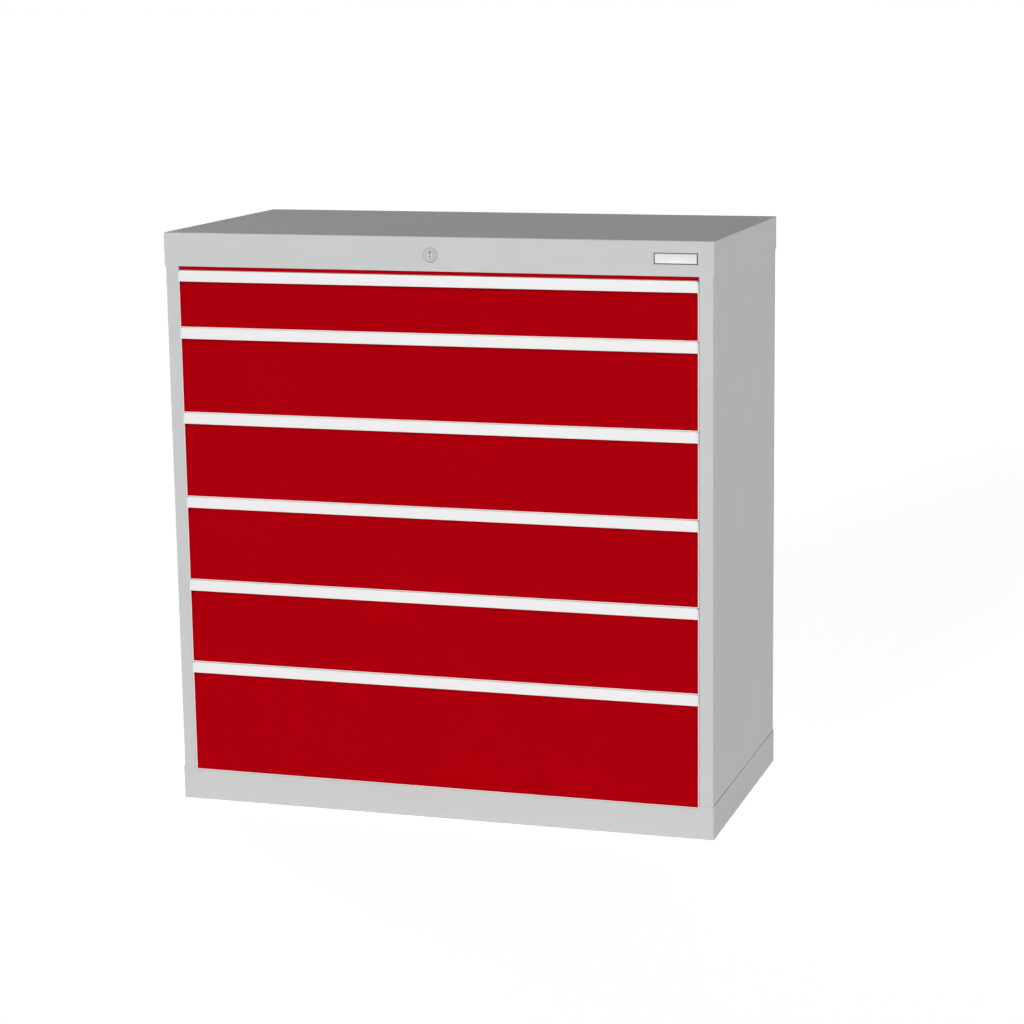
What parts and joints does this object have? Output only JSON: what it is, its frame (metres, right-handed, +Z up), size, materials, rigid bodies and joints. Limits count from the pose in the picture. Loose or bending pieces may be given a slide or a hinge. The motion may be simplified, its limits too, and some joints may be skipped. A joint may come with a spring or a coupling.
{
  "type": "drawer cabinet",
  "caption": "Sheet-steel reagent cabinet with full-width drawers, white grip strips, telescopic slides and a central cylinder lock that holds every drawer.",
  "frame": {"origin": "middle of the footprint, on the floor", "axes": "+Z up, drawers open towards -Y, +X to the right seen from the front"},
  "size_m": [0.98, 0.498, 1.02],
  "materials": {
    "carcass_coat": "satin powder coat",
    "drawer_coat": "satin powder coat",
    "front_coat": "satin powder coat",
    "grip_coat": "white powder coat",
    "cap_plastic": "fine grained",
    "inner_steel": "satin powder coat",
    "zinc_steel": "bright zinc plating",
    "lock_metal": "satin nickel",
    "plug_metal": "satin nickel"
  },
  "bodies": {
    "cabinet": {"top_cover": "carcass_coat", "plinth": "carcass_coat", "side_panel_right": "carcass_coat", "side_panel_left": "carcass_coat", "back_panel": "carcass_coat", "base_plate": "carcass_coat", "front_rail": "inner_steel", "rear_rail": "inner_steel", "filler_strip": "front_coat", "upright_front_right": "inner_steel", "upright_front_left": "inner_steel", "upright_rear_right": "inner_steel", "upright_rear_left": "inner_steel", "outer_rails_right": "zinc_steel", "outer_rails_left": "zinc_steel", "lock_housing": "lock_metal", "lock_nut": "zinc_steel", "bar_guides": "inner_steel"},
    "lock": {"lock_plug": "plug_metal", "lock_cam": "zinc_steel"},
    "bar": {"transfer_bar": "zinc_steel"},
    "rod": {"lock_rod": "zinc_steel"},
    "drawer_1": {"drawer_shell_1": "drawer_coat", "drawer_front_1": "front_coat", "grip_strip_1": "grip_coat", "grip_caps_1": "cap_plastic", "drawer_runners_1": "zinc_steel"},
    "slide_1": {"middle_rails_1": "zinc_steel"},
    "drawer_2": {"drawer_shell_2": "drawer_coat", "drawer_front_2": "front_coat", "grip_strip_2": "grip_coat", "grip_caps_2": "cap_plastic", "drawer_runners_2": "zinc_steel"},
    "slide_2": {"middle_rails_2": "zinc_steel"},
    "drawer_3": {"drawer_shell_3": "drawer_coat", "drawer_front_3": "front_coat", "grip_strip_3": "grip_coat", "grip_caps_3": "cap_plastic", "drawer_runners_3": "zinc_steel"},
    "slide_3": {"middle_rails_3": "zinc_steel"},
    "drawer_4": {"drawer_shell_4": "drawer_coat", "drawer_front_4": "front_coat", "grip_strip_4": "grip_coat", "grip_caps_4": "cap_plastic", "drawer_runners_4": "zinc_steel"},
    "slide_4": {"middle_rails_4": "zinc_steel"},
    "drawer_5": {"drawer_shell_5": "drawer_coat", "drawer_front_5": "front_coat", "grip_strip_5": "grip_coat", "grip_caps_5": "cap_plastic", "drawer_runners_5": "zinc_steel"},
    "slide_5": {"middle_rails_5": "zinc_steel"},
    "drawer_6": {"drawer_shell_6": "drawer_coat", "drawer_front_6": "front_coat", "grip_strip_6": "grip_coat", "grip_caps_6": "cap_plastic", "drawer_runners_6": "zinc_steel"},
    "slide_6": {"middle_rails_6": "zinc_steel"}
  },
  "joints": [
    {"name": "lock_turn", "type": "hinge", "parent": "cabinet", "child": "lock", "pos_m": [0, -0.245, 0.989], "axis": [0, 1, 0], "range_deg": [0, 90]},
    {"name": "bar_slide", "type": "slide", "parent": "cabinet", "child": "bar", "axis": [1, 0, 0], "range_m": [0, 0.0128]},
    {"name": "rod_lift", "type": "slide", "parent": "cabinet", "child": "rod", "axis": [0, 0, 1], "range_m": [0, 0.0127]},
    {"name": "drawer_1_slide", "type": "slide", "parent": "cabinet", "child": "drawer_1", "axis": [0, -1, 0], "range_m": [0, 0.44]},
    {"name": "slide_1_extend", "type": "slide", "parent": "cabinet", "child": "slide_1", "axis": [0, -1, 0], "range_m": [0, 0.22]},
    {"name": "drawer_2_slide", "type": "slide", "parent": "cabinet", "child": "drawer_2", "axis": [0, -1, 0], "range_m": [0, 0.44]},
    {"name": "slide_2_extend", "type": "slide", "parent": "cabinet", "child": "slide_2", "axis": [0, -1, 0], "range_m": [0, 0.22]},
    {"name": "drawer_3_slide", "type": "slide", "parent": "cabinet", "child": "drawer_3", "axis": [0, -1, 0], "range_m": [0, 0.44]},
    {"name": "slide_3_extend", "type": "slide", "parent": "cabinet", "child": "slide_3", "axis": [0, -1, 0], "range_m": [0, 0.22]},
    {"name": "drawer_4_slide", "type": "slide", "parent": "cabinet", "child": "drawer_4", "axis": [0, -1, 0], "range_m": [0, 0.44]},
    {"name": "slide_4_extend", "type": "slide", "parent": "cabinet", "child": "slide_4", "axis": [0, -1, 0], "range_m": [0, 0.22]},
    {"name": "drawer_5_slide", "type": "slide", "parent": "cabinet", "child": "drawer_5", "axis": [0, -1, 0], "range_m": [0, 0.44]},
    {"name": "slide_5_extend", "type": "slide", "parent": "cabinet", "child": "slide_5", "axis": [0, -1, 0], "range_m": [0, 0.22]},
    {"name": "drawer_6_slide", "type": "slide", "parent": "cabinet", "child": "drawer_6", "axis": [0, -1, 0], "range_m": [0, 0.44]},
    {"name": "slide_6_extend", "type": "slide", "parent": "cabinet", "child": "slide_6", "axis": [0, -1, 0], "range_m": [0, 0.22]}
  ],
  "couplings": [
    {"joint": "bar_slide", "follows": "rod_lift", "ratio": 1},
    {"joint": "lock_turn", "follows": "rod_lift", "rad_per_m": 123.41},
    {"joint": "slide_1_extend", "follows": "drawer_1_slide", "ratio": 0.5},
    {"joint": "slide_2_extend", "follows": "drawer_2_slide", "ratio": 0.5},
    {"joint": "slide_3_extend", "follows": "drawer_3_slide", "ratio": 0.5},
    {"joint": "slide_4_extend", "follows": "drawer_4_slide", "ratio": 0.5},
    {"joint": "slide_5_extend", "follows": "drawer_5_slide", "ratio": 0.5},
    {"joint": "slide_6_extend", "follows": "drawer_6_slide", "ratio": 0.5}
  ]
}
